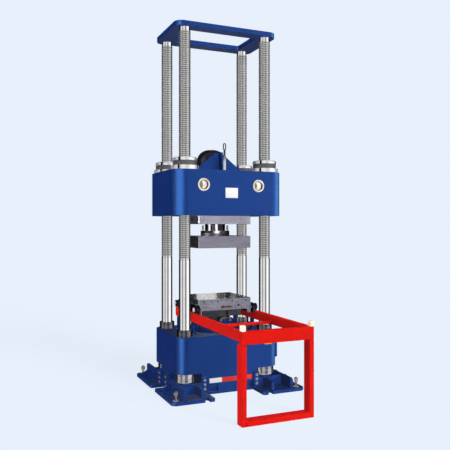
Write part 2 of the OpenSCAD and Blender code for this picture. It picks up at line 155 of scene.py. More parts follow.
def sprayed_enamel(name, colour, gloss_tint, gloss, roughness, spread=0.05, ior=1.5):
    """Two-pack enamel sprayed over filled castings and welded steel: an even colour with a
    faint orange peel, drawn at 9 mm where the real one is nearer 3 mm, and soft gloss."""
    material, tree = new_tree(name)
    wide = between(tree, mottle(tree, 350, 2), 0, 1)
    tone = blended(tree, wide, scaled(colour, 1 - spread), scaled(colour, 1 + spread))
    peel = mottle(tree, 9, 2)
    close_tree(tree, {
        "Base Color": tone,
        "Roughness": between(tree, mottle(tree, 60), roughness - 0.03, roughness + 0.03),
        "IOR": ior,
        "Specular IOR Level": gloss,
        "Specular Tint": (*gloss_tint, 1),
        "Normal": bump(tree, peel, 0.00015),
    })
    return material


def ground_steel(name, dark, light, roughness, cloud_mm=120, lapped=9.0):
    """Surface-ground steel plate: parallel grinding lines, drawn 3 mm apart where the real
    ones are a fraction of that, with cloudy patches left by oil and handling. Above the height
    lapped it is a lapped loading face, nearly a mirror."""
    material, tree = new_tree(name)
    place = add_node(tree, "ShaderNodeTexCoord").outputs["Object"]
    height = add_node(tree, "ShaderNodeSeparateXYZ", {0: place}).outputs[2]
    face = ramp_up(tree, height, lapped - 0.0002, lapped)
    lines = mottle(tree, 24, 4, (0.12, 0.12, 1))
    clouds = mottle(tree, cloud_mm, 4)
    both = add_node(tree, "ShaderNodeMath", {0: lines, 1: clouds}, operation="ADD").outputs[0]
    half = add_node(tree, "ShaderNodeMath", {0: both, 1: 0.5}, operation="MULTIPLY").outputs[0]
    plate = blended(tree, between(tree, half, 0, 1), dark, light)
    close_tree(tree, {
        "Base Color": blended(tree, face, plate, linear("#F0F0F0")),
        "Metallic": 0.85,
        "Roughness": add_node(tree, "ShaderNodeMapRange", {
            "Value": face, "To Min": between(tree, clouds, roughness - 0.05, roughness + 0.08),
            "To Max": 0.08}).outputs[0],
        "Normal": bump(tree, lines, 0.0004, ramp_up(tree, height, lapped, lapped - 0.0002)),
    })
    return material


def plain_metal(name, dark, light, roughness, grain_mm=25, metallic=1.0, stretch=(1, 1, 1)):
    """Machined metal with a slight change of tone over its surface."""
    material, tree = new_tree(name)
    patches = mottle(tree, grain_mm, 3, stretch)
    close_tree(tree, {
        "Base Color": blended(tree, between(tree, patches, 0, 1), dark, light),
        "Metallic": metallic,
        "Roughness": between(tree, patches, roughness * 0.8, roughness * 1.2),
    })
    return material


def column_radius(tree, place):
    """Distance from the axis of whichever column is nearest."""
    size = add_node(tree, "ShaderNodeVectorMath", {0: place}, operation="ABSOLUTE").outputs[0]
    off = add_node(tree, "ShaderNodeVectorMath", {0: size, 1: (0.421, 0.267, 0)},
                   operation="SUBTRACT").outputs[0]
    flat = add_node(tree, "ShaderNodeVectorMath", {0: off, 1: (1, 1, 0)},
                    operation="MULTIPLY").outputs[0]
    return add_node(tree, "ShaderNodeVectorMath", {0: flat}, operation="LENGTH").outputs[1]


def slot_walls(tree, place, reach):
    """1 within reach of the two diagonals through a column's axis, where the spanner slots are."""
    size = add_node(tree, "ShaderNodeVectorMath", {0: place}, operation="ABSOLUTE").outputs[0]
    off = add_node(tree, "ShaderNodeVectorMath", {0: size, 1: (0.421, 0.267, 0)},
                   operation="SUBTRACT").outputs[0]
    quarter = add_node(tree, "ShaderNodeVectorMath", {0: off}, operation="ABSOLUTE").outputs[0]
    sides = add_node(tree, "ShaderNodeSeparateXYZ", {0: quarter})
    return add_node(tree, "ShaderNodeMath", {
        0: sides.outputs[0], 1: sides.outputs[1], 2: reach * math.sqrt(2)},
        operation="COMPARE").outputs[0]


def ramp_up(tree, value, low, high):
    """0 below low, 1 above high, and straight between them."""
    return add_node(tree, "ShaderNodeMapRange", {
        "Value": value, "From Min": low, "From Max": high}).outputs[0]


def times(tree, one, other):
    return add_node(tree, "ShaderNodeMath", {0: one, 1: other}, operation="MULTIPLY").outputs[0]


def column_thread_steel(name, root, crest):
    """Trapezoidal thread cut in alloy steel. The roots are painted darker than the crests as
    painted shade in the grooves, so the tone follows the distance from the column's own axis."""
    material, tree = new_tree(name)
    place = add_node(tree, "ShaderNodeTexCoord").outputs["Object"]
    # Painted shade: the colour darkens from crest to root, standing in for the shade in the grooves.
    height = ramp_up(tree, column_radius(tree, place), 0.052, 0.0543)
    wear = mottle(tree, 40, 3)
    tone = times(tree, height, between(tree, wear, 0.8, 1.0))
    close_tree(tree, {
        "Base Color": blended(tree, tone, root, crest),
        "Metallic": 0.9,
        "Roughness": between(tree, wear, 0.3, 0.38),
    })
    return material


def turned_nut_steel(name, bright, band, slot):
    """Polished nuts and caps. The neck between a nut's flange and its cap is left as turned, and
    the spanner slots are near black inside as painted shade."""
    material, tree = new_tree(name)
    place = add_node(tree, "ShaderNodeTexCoord").outputs["Object"]
    height = add_node(tree, "ShaderNodeSeparateXYZ", {0: place}).outputs[2]
    radius = column_radius(tree, place)
    neck = times(tree, ramp_up(tree, height, 2.1532, 2.1536), ramp_up(tree, height, 2.1995, 2.1965))
    # Painted shade: inside the spanner slots the colour is near black, where shade falls in them.
    flange_slot_shade = times(tree, slot_walls(tree, place, 0.0105), ramp_up(tree, radius, 0.1043, 0.1045))
    flange_slot_shade = times(tree, flange_slot_shade, ramp_up(tree, height, 2.1965, 2.1969))
    cap_slot_shade = times(tree, slot_walls(tree, place, 0.010), ramp_up(tree, radius, 0.1203, 0.1205))
    cap_slot_shade = times(tree, cap_slot_shade, ramp_up(tree, height, 2.154, 2.1535))
    wear = mottle(tree, 30, 3)
    base = blended(tree, neck, bright, band)
    base = blended(tree, add_node(tree, "ShaderNodeMath", {0: flange_slot_shade, 1: cap_slot_shade},
                                  operation="MAXIMUM").outputs[0], base, slot)
    rough = add_node(tree, "ShaderNodeMapRange", {
        "Value": neck, "To Min": 0.18, "To Max": 0.5}).outputs[0]
    close_tree(tree, {
        "Base Color": base,
        "Metallic": 0.45,
        "Roughness": add_node(tree, "ShaderNodeMath", {0: rough, 1: between(tree, wear, 0.9, 1.2)},
                              operation="MULTIPLY").outputs[0],
    })
    return material


def dull_surface(name, dark, light, roughness, grain_mm=12):
    """Rubber, plastic or paper: no metal in it, with a slight change of tone."""
    material, tree = new_tree(name)
    patches = mottle(tree, grain_mm, 3)
    close_tree(tree, {
        "Base Color": blended(tree, between(tree, patches, 0, 1), dark, light),
        "Roughness": roughness,
        "Normal": bump(tree, patches, 0.0003),
    })
    return material


def buffer_rubber(name, pad, stop, split):
    """Moulded rubber blocks: the one below the height split is the stop's own colour."""
    material, tree = new_tree(name)
    place = add_node(tree, "ShaderNodeTexCoord").outputs["Object"]
    height = add_node(tree, "ShaderNodeSeparateXYZ", {0: place}).outputs[2]
    patches = mottle(tree, 12, 3)
    plain_tone = blended(tree, ramp_up(tree, height, split - 0.001, split), stop, pad)
    close_tree(tree, {
        "Base Color": blended(tree, between(tree, patches, 0, 0.08), plain_tone, scaled(stop, 0.8)),
        "Roughness": 0.6,
        "Normal": bump(tree, patches, 0.0003),
    })
    return material


def drawn_rod(name, plain_tone, dark_tone, low, high):
    """Drawn steel bar, light below the height low and dark above high."""
    material, tree = new_tree(name)
    place = add_node(tree, "ShaderNodeTexCoord").outputs["Object"]
    height = add_node(tree, "ShaderNodeSeparateXYZ", {0: place}).outputs[2]
    wear = between(tree, mottle(tree, 20, 3), -0.02, 0.02)
    level = add_node(tree, "ShaderNodeMath", {0: height, 1: wear}, operation="ADD").outputs[0]
    close_tree(tree, {
        "Base Color": blended(tree, ramp_up(tree, level, low, high), plain_tone, dark_tone),
        "Metallic": 0.7,
        "Roughness": 0.28,
    })
    return material


def seat_oxide(name, dark, light):
    """Black oxide, polished round the drum of the seat and left dull on its flange."""
    material, tree = new_tree(name)
    place = add_node(tree, "ShaderNodeTexCoord").outputs["Object"]
    flat = add_node(tree, "ShaderNodeVectorMath", {0: place, 1: (1, 1, 0)},
                    operation="MULTIPLY").outputs[0]
    radius = add_node(tree, "ShaderNodeVectorMath", {0: flat}, operation="LENGTH").outputs[1]
    patches = mottle(tree, 30, 3)
    close_tree(tree, {
        "Base Color": blended(tree, between(tree, patches, 0, 1), dark, light),
        "Metallic": 0.9,
        "Roughness": add_node(tree, "ShaderNodeMapRange", {
            "Value": radius, "From Min": 0.115, "From Max": 0.125,
            "To Min": between(tree, patches, 0.12, 0.17), "To Max": 0.45}).outputs[0],
    })
    return material


MATERIALS = {}


def make_materials(looks):
    blue = looks.enamel_blue
    red = looks.enamel_red
    MATERIALS.update({
        # Blue sprayed enamel: deep colour, soft tinted gloss along round corners.
        "blue_paint": sprayed_enamel("blue_sprayed_enamel", scaled(blue, 0.76),
                                     linear("#4A80FF"), 0.8, 0.33, 0.04, 1.7),
        # The same enamel on the cylinder and rail supports, a darker copy as painted shade under the
        # trolley, with less gloss.
        "blue_painted_shade": sprayed_enamel("blue_enamel_painted_shade", scaled(blue, 0.7), linear("#5F94FF"),
                                    0.3, 0.5, 0.1),
        # Red sprayed enamel: the same finish on square steel tube.
        "red_paint": sprayed_enamel("red_sprayed_enamel", red, linear("#FF4030"), 0.2, 0.5),
        # Cream rubber of the buffers, and the yellow rubber stop under the beam.
        "cream_pad": buffer_rubber("cream_rubber", linear("#FFF9E4"), linear("#F5A838"), 0.66),
        # Hard chrome on the plain lengths of the columns: almost a mirror.
        "column_steel": plain_metal("hard_chrome", linear("#EFEFF0"), linear("#F8F8F8"), 0.07, 80),
        # Long thread of the columns, the roots darker as painted shade in the grooves.
        "thread": column_thread_steel("thread_steel_shaded_roots", linear("#9A9A9C"), linear("#E4E4E2")),
        # Nuts and caps on the crosshead, the spanner slots near black as painted shade.
        "nut_steel": turned_nut_steel("turned_nut_steel", linear("#F8F8F9"), linear("#6A6A6E"),
                                      linear("#0A0A0C")),
        # Surface-ground steel of the platens.
        "ground_steel": ground_steel("surface_ground_steel", linear("#908E9C"), linear("#AFACBB"),
                                     0.3),
        # The same steel of the upper platen, in a darker tone.
        "platen_steel": ground_steel("darker_ground_steel", linear("#74727F"), linear("#8C8A98"),
                                     0.3),
        # Planed steel of the trolley, speckled with oil, under its lapped loading face.
        "planed_steel": ground_steel("planed_steel", linear("#62616D"), linear("#9796A5"), 0.32, 22,
                                     0.8788),
        # Blued steel of the ram head and the trolley cheeks, and of the ram, which is drawn dark as
        # painted shade under the ram head.
        "dark_steel": plain_metal("blued_steel", linear("#2E2C32"), linear("#4A484F"), 0.2, 40),
        # Turned steel of the collars, in a dark tone.
        "collar_steel": plain_metal("dark_turned_steel", linear("#504F56"), linear("#807F88"), 0.15,
                                    40, 1.0, (0.3, 0.3, 3)),
        # Turned steel of the lower column nuts.
        "turned_steel": plain_metal("oiled_turned_steel", linear("#9A99A2"), linear("#DAD9E2"), 0.12,
                                    40, 1.0, (0.3, 0.3, 3)),
        # Bright steel of the oil pipe and its unions.
        "bright_steel": plain_metal("bright_pipe_steel", linear("#6C6A72"), linear("#B0AEB6"), 0.2),
        # Drawn steel of the lifting rod.
        "rod_steel": drawn_rod("drawn_steel", linear("#E4EAF2"), linear("#4E4650"), 2.2, 2.27),
        # Wheel axles in plain white, a painted highlight on the axle ends.
        "axle_end_highlight": dull_surface("white_axle_highlight", linear("#F4F4F4"), linear("#FFFFFF"), 0.4),
        # Zinc-plated bolts.
        "bolt_zinc": plain_metal("zinc_plate", linear("#8E90A0"), linear("#B4B6C4"), 0.3, 12, 0.8),
        # Levelling screws and studs, brown with oil.
        "brown_steel": plain_metal("oil_browned_steel", linear("#5A4C44"), linear("#D8CCC4"), 0.25,
                                   9),
        # Black gloss lacquer of the motor cover.
        "black_gloss": sprayed_enamel("black_gloss_lacquer", linear("#1D1C26"),
                                      linear("#CFCBFF"), 0.9, 0.16),
        # Black-oxide finish of the seat, polished where it turns.
        "seat_black": seat_oxide("polished_black_oxide", linear("#232227"), linear("#312F36")),
        # Ring of the seat, brown with oil.
        "ring_steel": plain_metal("oil_browned_ring", linear("#332F2E"), linear("#524C49"), 0.3, 20),
        # Set screws of the trolley, near black as painted shade in their holes.
        "phosphate": dull_surface("black_phosphate", linear("#040405"), linear("#0C0C0E"), 0.7),
        # Black-oxide finish of screws and wheels.
        "black_steel": plain_metal("black_oxide_steel", linear("#131216"), linear("#29282D"), 0.22,
                                   30, 0.8),
        # Polished plugs in the crosshead, tinted cream as a painted reflection of warm surroundings.
        "plug_steel": plain_metal("plug_steel_warm_reflection", linear("#E0CFBB"), linear("#FFFDF8"),
                                  0.1, 60),
        # Bronze of the handle and the seat liner.
        "bronze": plain_metal("bearing_bronze", linear("#6E4A28"), linear("#A57C48"), 0.35),
        # Oil-hardened wire of the springs, gone brown.
        "spring_steel": plain_metal("brown_spring_wire", linear("#7E6150"), linear("#C8A48C"), 0.3),
        # Bare plates where a maker would fix a name.
        "white_plate": dull_surface("white_lacquered_plate", linear("#F4F4F4"), linear("#FBFBFB"),
                                    0.35),
        "red_plate": dull_surface("red_lacquered_plate", linear("#E02A24"), linear("#EA3A32"), 0.35),
    })


# ---------- mesh helpers ----------


def mesh_object(name, bm, *slots):
    """Ends a bmesh as an object at the origin, with its materials."""
    mesh = bpy.data.meshes.new(name)
    bm.to_mesh(mesh)
    bm.free()
    for slot in slots:
        mesh.materials.append(MATERIALS[slot])
    obj = bpy.data.objects.new(name, mesh)
    bpy.context.scene.collection.objects.link(obj)
    return obj


def chain(bm, points):
    """Vertices and edges through points, ready to spin."""
    verts = [bm.verts.new(p) for p in points]
    edges = [bm.edges.new(pair) for pair in zip(verts, verts[1:])]
    return verts + edges


def lathe(bm, points, steps):
    """Spins (radius, height) points about the upright axis and turns the new faces outwards."""
    known = set(bm.faces)
    bmesh.ops.spin(bm, geom=chain(bm, [(r, 0, z) for r, z in points]), cent=(0, 0, 0),
                   axis=(0, 0, 1), dvec=(0, 0, 0), angle=2 * math.pi, steps=steps,
                   use_merge=True, use_duplicate=False)
    made = [face for face in bm.faces if face not in known]
    rim = list({vert for face in made for vert in face.verts})
    bmesh.ops.remove_doubles(bm, verts=rim, dist=1e-6)
    made = [face for face in bm.faces if face not in known]
    bmesh.ops.recalc_face_normals(bm, faces=made)
    return made


def smooth_by_angle(obj, degrees=30):
    obj.data.shade_smooth()
    obj.data.set_sharp_from_angle(angle=math.radians(degrees))


# ---------- operators ----------


class MACHINE_OT_finish_nodes(Operator):
    """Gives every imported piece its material, and broken edges where the real one has them"""
    bl_idname = "machine.finish_nodes"
    bl_label = "Finish Packed Pieces"

    def execute(self, context):
        make_materials(context.scene.machine_looks)
        for name, obj in frame["nodes"].items():
            slot = NODE_SLOTS[name]
            obj.data.materials.clear()
            obj.data.materials.append(MATERIALS[slot])
            obj.visible_glossy = False
            width = EDGE_WIDTHS.get(name)
            if width:
                break_edges(obj, width)
        return {"FINISHED"}


def break_edges(obj, width):
    """Welds the loose triangles, joins flat ones and rounds the edges with modifiers."""
    weld = obj.modifiers.new("weld", "WELD")
    weld.merge_threshold = 0.00002
    flat = obj.modifiers.new("flat", "DECIMATE")
    flat.decimate_type = "DISSOLVE"
    flat.angle_limit = math.radians(0.8)
    edge = obj.modifiers.new("edge", "BEVEL")
    edge.width = width
    edge.segments = 2
    edge.limit_method = "ANGLE"
    edge.angle_limit = math.radians(35)
    edge.use_clamp_overlap = True
    obj.data.shade_smooth()
    shade = obj.modifiers.new("shade", "WEIGHTED_NORMAL")
    shade.weight = 100
    shade.keep_sharp = False


BLUE = ["base_block", "foot_bracket_fl", "foot_bracket_fr", "foot_bracket_bl", "foot_bracket_br",
        "top_frame", "side_cover", "crosshead",
        "lift_gusset", "lift_rib"]
# These pieces under the trolley take a darker copy of the blue enamel as painted shade.
SHADED_BLUE = ["ram_cylinder", "cylinder_bolts", "rail_supports"]
RED = ["rail_left", "rail_right", "front_beam", "frame_legs", "bottom_bar", "cross_member"]
SLOT_NODES = {
    "blue_paint": BLUE,
    "blue_painted_shade": SHADED_BLUE,
    "red_paint": RED,
    "cream_pad": ["bumpers"],
    "column_steel": ["column_fl", "column_fr", "column_bl", "column_br"],
    "nut_steel": ["column_nut_fl", "column_nut_fr", "column_nut_bl", "column_nut_br", "nut_caps"],
    "ground_steel": ["adapter_plate"],
    "platen_steel": ["upper_platen"],
    "planed_steel": ["lower_platen", "trolley_plate"],
    # The ram really is bright steel; it is put in the dark steel as painted shade under the ram
    # head.
    "dark_steel": ["ram_head", "ram", "trolley_cheeks"],
    "collar_steel": ["column_collars"],
    "turned_steel": ["lower_column_nuts"],
    "rod_steel": ["lift_rod"],
    # The axle ends are drawn plain white as a painted highlight.
    "axle_end_highlight": ["wheel_axles"],
    "ring_steel": ["seat_ring"],
    "plug_steel": ["crosshead_plugs"],
    "bolt_zinc": ["bracket_bolts"],
    "brown_steel": ["levelling_bolts", "seat_studs"],
    "black_gloss": ["motor_cover"],
    "seat_black": ["seat_socket", "seat_ball"],
    "black_steel": ["motor_flange", "adapter_bolts", "top_bolts", "lift_eye", "wheel_fl",
                    "wheel_fr", "wheel_bl", "wheel_br"],
    "bronze": ["platen_handle", "seat_liner", "seat_springs"],
}
NODE_SLOTS = {name: slot for slot, names in SLOT_NODES.items() for name in names}
EDGE_WIDTHS = {name: 0.004 for name in BLUE + SHADED_BLUE + RED}
EDGE_WIDTHS.update({"foot_bracket_" + name: 0.006 for name in CORNERS})
EDGE_WIDTHS.update({"crosshead": 0.005, "base_block": 0.005, "top_frame": 0.006,
                    "adapter_plate": 0.002, "upper_platen": 0.002, "lower_platen": 0.002})


def thread(bm, low, high, crest, root, pitch, steps):
    """One-start trapezoidal thread about the upright axis, closed at both ends."""
    profile = [(root, 0.0), (root, 0.22), (crest, 0.34), (crest, 0.88), (root, 1.0)]
    start = low - pitch
    bmesh.ops.spin(bm, geom=chain(bm, [(r, 0, start + part * pitch) for r, part in profile]),
                   cent=(0, 0, 0), axis=(0, 0, 1), dvec=(0, 0, pitch / steps),
                   angle=2 * math.pi, steps=steps, use_merge=False, use_duplicate=False)
    turns = 1
    while turns * pitch < high - start:
        copy = bmesh.ops.duplicate(bm, geom=bm.verts[:] + bm.edges[:] + bm.faces[:])["geom"]
        moved = [item for item in copy if isinstance(item, bmesh.types.BMVert)]
        bmesh.ops.translate(bm, verts=moved, vec=(0, 0, turns * pitch))
        turns *= 2
    bmesh.ops.remove_doubles(bm, verts=bm.verts, dist=1e-5)
    for height, top in ((low, False), (high, True)):
        cut = bmesh.ops.bisect_plane(
            bm, geom=bm.verts[:] + bm.edges[:] + bm.faces[:], plane_co=(0, 0, height),
            plane_no=(0, 0, 1), clear_outer=top, clear_inner=not top)
        rim = [item for item in cut["geom_cut"] if isinstance(item, bmesh.types.BMEdge)]
        bmesh.ops.contextual_create(bm, geom=rim)
    bmesh.ops.recalc_face_normals(bm, faces=bm.faces)


class MACHINE_OT_columns(Operator):
    """Turns the four columns: plain shaft, undercuts, long thread and neck"""
    bl_idname = "machine.columns"
    bl_label = "Columns"

    def execute(self, context):
        looks = context.scene.machine_looks
        low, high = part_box("column_fl")
        crest = (high[0] - low[0]) / 2
        shaft_top, thread_low, thread_high = 1.267, 1.279, high[2] - 0.039
        bm = bmesh.new()
        thread(bm, thread_low, thread_high, crest, crest - 0.0035, looks.thread_pitch, 40)
        for face in bm.faces:
            face.material_index = 1
        lathe(bm, [
            (0, low[2]), (crest - 0.004, low[2]), (crest, low[2] + 0.004), (crest, shaft_top),
            (crest - 0.003, shaft_top + 0.003), (crest - 0.003, thread_low + 0.002),
            (0, thread_low + 0.002),
        ], 64)
        lathe(bm, [
            (0, thread_high - 0.002), (crest - 0.003, thread_high - 0.002),
            (crest - 0.003, high[2] - 0.001), (crest - 0.004, high[2]), (0, high[2]),
        ], 64)
        pattern = bpy.data.meshes.new("column")
        bm.to_mesh(pattern)
        bm.free()
        for name in CORNERS:
            node = "column_" + name
            low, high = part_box(node)
            bm = bmesh.new()
            bm.from_mesh(pattern)
            bmesh.ops.translate(bm, verts=bm.verts, vec=(
                (low[0] + high[0]) / 2, (low[1] + high[1]) / 2, 0))
            column = mesh_object("threaded_" + node, bm, "column_steel", "thread")
            smooth_by_angle(column)
            column.visible_glossy = False
            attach(column, "machine")
            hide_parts(node)
        return {"FINISHED"}


def coil(bm, radius, wire, low, high, turns, steps):
    """Closed helix of round wire about the upright axis, between two heights."""
    rise = (high - low - 2 * wire) / turns
    made = bmesh.ops.create_circle(
        bm, cap_ends=False, segments=8, radius=wire,
        matrix=Matrix.Translation((radius, 0, low + wire)) @ Matrix.Rotation(math.pi / 2, 4, "X"))
    edges = list({edge for vert in made["verts"] for edge in vert.link_edges})
    last = bmesh.ops.spin(
        bm, geom=made["verts"] + edges, cent=(0, 0, 0), axis=(0, 0, 1),
        dvec=(0, 0, rise / steps), angle=2 * math.pi * turns, steps=steps * turns,
        use_merge=False, use_duplicate=False)["geom_last"]
    for rim in (edges, [item for item in last if isinstance(item, bmesh.types.BMEdge)]):
        bmesh.ops.contextual_create(bm, geom=rim)
    bmesh.ops.recalc_face_normals(bm, faces=bm.faces)


def slab(bm, low, high, round_by=0.0):
    """Block between two corners, its edges rounded."""
    size = Vector(high) - Vector(low)
    middle = (Vector(high) + Vector(low)) / 2
    made = bmesh.ops.create_cube(
        bm, size=1, matrix=Matrix.Translation(middle) @ Matrix.Diagonal((*size, 1)))["verts"]
    if round_by:
        edges = list({edge for vert in made for edge in vert.link_edges})
        bmesh.ops.bevel(bm, geom=edges, offset=round_by, segments=2, profile=0.5,
                        affect="EDGES", material=-1)


class MACHINE_OT_springs(Operator):
    """Winds the coil springs round the studs of the spherical seat"""
    bl_idname = "machine.springs"
    bl_label = "Seat Springs"

    def execute(self, context):
        low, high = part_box("seat_springs")
        bm = bmesh.new()
        # The lower ends stand clear of the ring by as much as it rises when the platen tilts.
        coil(bm, 0.0100, 0.0019, low[2] + 0.0058, high[2], 5, 20)
        one = bpy.data.meshes.new("spring")
        bm.to_mesh(one)
        bm.free()
        bm = bmesh.new()
        for turn in (-122.8, -32.8, 57.2, 147.2):
            known = set(bm.verts)
            bm.from_mesh(one)
            new = [vert for vert in bm.verts if vert not in known]
            bmesh.ops.translate(bm, verts=new, vec=(
                0.125 * math.cos(math.radians(turn)), 0.125 * math.sin(math.radians(turn)), 0))
        springs = mesh_object("coil_springs", bm, "spring_steel")
        smooth_by_angle(springs, 50)
        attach(springs, "upper_platen")
        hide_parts("seat_springs")
        return {"FINISHED"}


class MACHINE_OT_fittings(Operator):
    """Fits the small parts: screw heads of the trolley and the oil pipe on the cylinder"""
    bl_idname = "machine.fittings"
    bl_label = "Small Fittings"

    def execute(self, context):
        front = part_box("lower_platen")[0][1]
        bm = bmesh.new()
        for x, z, radius in ((-0.223, 0.855, 0.008), (-0.075, 0.855, 0.008),
                             (0.075, 0.855, 0.008), (0.223, 0.855, 0.008),
                             (0.143, 0.812, 0.0115)):
            screw_head(bm, (x, front - 0.0015, z), radius, 0.0015)
        # The screw heads are near black as painted shade in their holes.
        screws = mesh_object("platen_screws", bm, "phosphate")
        smooth_by_angle(screws)
        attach(screws, "trolley")

        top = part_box("ram_cylinder")[1][2]
        bm = bmesh.new()
        for x in (-0.022, 0.076):
            hexagon(bm, (x, -0.205, top), (0, 0, 1), 0.011, 0.012)
        hexagon(bm, (0.062, -0.205, top + 0.029), (1, 0, 0), 0.0095, 0.010)
        bridge_pipe(bm, (-0.022, -0.205, top + 0.010), 0.098, 0.007, 0.012, 0.005)
        pipe = mesh_object("oil_pipe", bm, "bright_steel")
        smooth_by_angle(pipe)
        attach(pipe, "machine")
        return {"FINISHED"}


def screw_head(bm, centre, radius, depth):
    """Low head facing the operator: a disc with a round recess for the key."""
    made = bmesh.ops.create_cone(
        bm, cap_ends=True, cap_tris=False, segments=24, radius1=radius, radius2=radius, depth=depth,
        matrix=Matrix.Translation((centre[0], centre[1] + depth / 2, centre[2]))
        @ Matrix.Rotation(math.pi / 2, 4, "X"))["verts"]
    faces = {face for vert in made for face in vert.link_faces}
    front = [face for face in faces if face.normal.y < -0.9]
    bmesh.ops.inset_region(bm, faces=front, thickness=radius * 0.45, depth=0)
    sunk = bmesh.ops.extrude_face_region(bm, geom=front)["geom"]
    bmesh.ops.delete(bm, geom=front, context="FACES")
    bmesh.ops.translate(bm, vec=(0, depth * 0.5, 0),
                        verts=[item for item in sunk if isinstance(item, bmesh.types.BMVert)])


def hexagon(bm, base, direction, radius, length):
    """Hexagon bar from a base point along a direction, its far rim chamfered."""
    turn = Vector(direction).to_track_quat("Z", "Y").to_matrix().to_4x4()
    made = bmesh.ops.create_cone(
        bm, cap_ends=True, cap_tris=False, segments=6, radius1=radius, radius2=radius, depth=length,
        matrix=Matrix.Translation(Vector(base) + Vector(direction) * length / 2) @ turn)["verts"]
    edges = list({edge for vert in made for edge in vert.link_edges})
    bmesh.ops.bevel(bm, geom=edges, offset=radius * 0.1, segments=1, profile=0.5, affect="EDGES",
                    material=-1)


def bridge_pipe(bm, start, span, rise, bend, radius):
    """Pipe that goes straight up, across along +X and down again, with a bend at each turn."""
    rim = bmesh.ops.create_circle(bm, cap_ends=False, segments=12, radius=radius,
                                  matrix=Matrix.Translation(start))["verts"]
    rim = list({edge for vert in rim for edge in vert.link_edges})
    ends = [rim]
    x, y, z = start

    def draw(move):
        made = bmesh.ops.extrude_edge_only(bm, edges=ends[-1])["geom"]
        bmesh.ops.translate(bm, vec=move,
                            verts=[item for item in made if isinstance(item, bmesh.types.BMVert)])
        ends.append([item for item in made if isinstance(item, bmesh.types.BMEdge)
                     and item.is_boundary])

    def turn(centre):
        verts = list({vert for edge in ends[-1] for vert in edge.verts})
        made = bmesh.ops.spin(bm, geom=verts + ends[-1], cent=centre, axis=(0, 1, 0),
                              dvec=(0, 0, 0), angle=math.pi / 2, steps=6, use_merge=False,
                              use_duplicate=False)["geom_last"]
        ends.append([item for item in made if isinstance(item, bmesh.types.BMEdge)])

    draw((0, 0, rise))
    turn((x + bend, y, z + rise))
    draw((span - 2 * bend, 0, 0))
    turn((x + span - bend, y, z + rise))
    draw((0, 0, -rise))
    for edges in (ends[0], ends[-1]):
        bmesh.ops.contextual_create(bm, geom=edges)
    bmesh.ops.remove_doubles(bm, verts=bm.verts, dist=1e-5)
    bmesh.ops.recalc_face_normals(bm, faces=bm.faces)


class MACHINE_OT_plates(Operator):
    """Fixes the bare plates on the crosshead and the pedestal"""
    bl_idname = "machine.plates"
    bl_label = "Bare Plates"

    def execute(self, context):
        head_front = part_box("crosshead")[0][1]
        base_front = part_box("base_block")[0][1]
        for name, body, slot, low, high in (
                ("crosshead_plate", "crosshead", "white_plate",
                 (-0.062, head_front - 0.003, 1.852), (0.066, head_front, 1.948)),
                ("pedestal_plate", "machine", "white_plate",
                 (-0.213, base_front - 0.002, 0.107), (-0.085, base_front, 0.151)),
                ("pedestal_strip", "machine", "red_plate",
                 (-0.085, base_front - 0.002, 0.107), (0.232, base_front, 0.151))):
            bm = bmesh.new()
            slab(bm, low, high, 0.0006)
            plate = mesh_object(name, bm, slot)
            smooth_by_angle(plate)
            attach(plate, body)
        return {"FINISHED"}


def screen_ramp(tree, share, screens, low, high):
    """Brightness of the screens from low to high degrees, each one plain up to the next."""
    ramp = add_node(tree, "ShaderNodeValToRGB", {"Fac": share})
    ramp.color_ramp.interpolation = "CONSTANT"
    stops = ramp.color_ramp.elements
    stops.remove(stops[1])
    for start, value in screens:
        stop = stops.new((start - low) / (high - low)) if start > low else stops[0]
        stop.color = (value, value, value, 1)
    return ramp.outputs[0]


